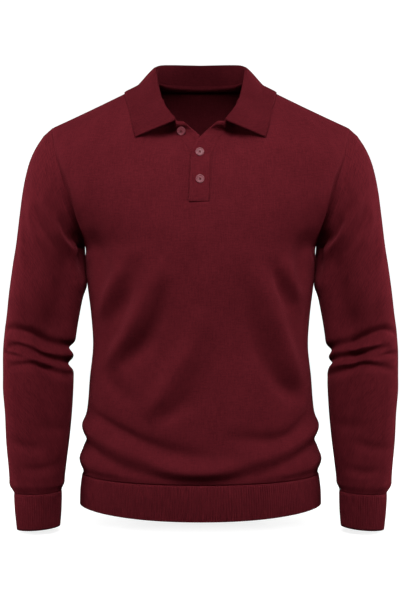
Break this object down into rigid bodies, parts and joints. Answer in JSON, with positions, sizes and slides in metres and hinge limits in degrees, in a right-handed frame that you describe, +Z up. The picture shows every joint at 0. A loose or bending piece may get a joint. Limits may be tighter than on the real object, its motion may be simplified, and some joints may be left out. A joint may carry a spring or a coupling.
{
  "type": "polo sweater",
  "caption": "Long-sleeved knitted polo sweater, filled out as worn with nobody in it: folded collar, buttoned placket, and ribbed cuffs and hem band.",
  "frame": {"origin": "midway between the two high shoulder points, where the neck seam meets the shoulder seams", "axes": "+Z up, -Y out of the front, +X towards the wearer's left"},
  "size_m": [0.633, 0.2425, 0.7552],
  "materials": {
    "knit": "fine plain knit, soft and matt, dark burgundy",
    "rib": "fine one-by-one rib, soft and matt, dark burgundy",
    "button": "satin, a lighter burgundy pink, with a raised rim"
  },
  "bodies": {
    "root": {"front_panel": "knit", "back_panel": "knit", "sleeve_left": "knit", "sleeve_right": "knit", "hem_band": "rib", "cuff_left": "rib", "cuff_right": "rib", "collar": "knit", "placket_upper": "knit", "placket_under": "knit", "neck_tape": "knit", "button_1": "button", "button_2": "button", "button_3": "button"}
  },
  "joints": []
}
